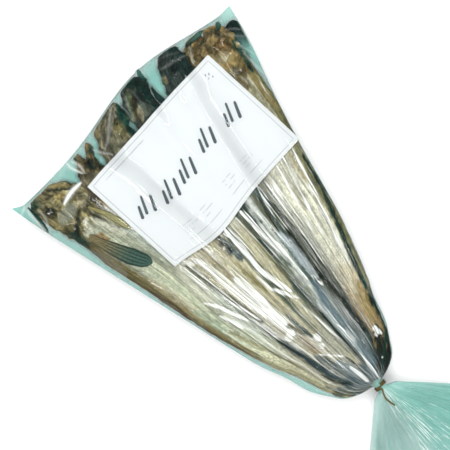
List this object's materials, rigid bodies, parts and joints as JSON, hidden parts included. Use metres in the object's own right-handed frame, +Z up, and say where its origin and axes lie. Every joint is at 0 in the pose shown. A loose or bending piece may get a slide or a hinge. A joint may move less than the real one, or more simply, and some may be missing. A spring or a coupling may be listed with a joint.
{
  "type": "bag of dried pollock",
  "caption": "Tied clear bag of whole dried fish lying flat, heads fanned along its closed end, with a plain paper card on top and a gathered, pleated mouth.",
  "frame": {"origin": "under the middle of the pack, on the surface that it lies on", "axes": "+X along the pack from the fish heads to the gathered mouth, +Y across it, +Z up"},
  "size_m": [0.5999, 0.3539, 0.0585],
  "materials": {
    "film_and_fish": "clear glossy film with a pale blue-green tint over olive and tan dried fish",
    "card": "smooth white paper with grey print",
    "tie": "dull golden-brown foil over a thin wire"
  },
  "bodies": {
    "root": {"bag": "film_and_fish", "label_card": "card", "twist_tie": "tie"}
  },
  "joints": []
}
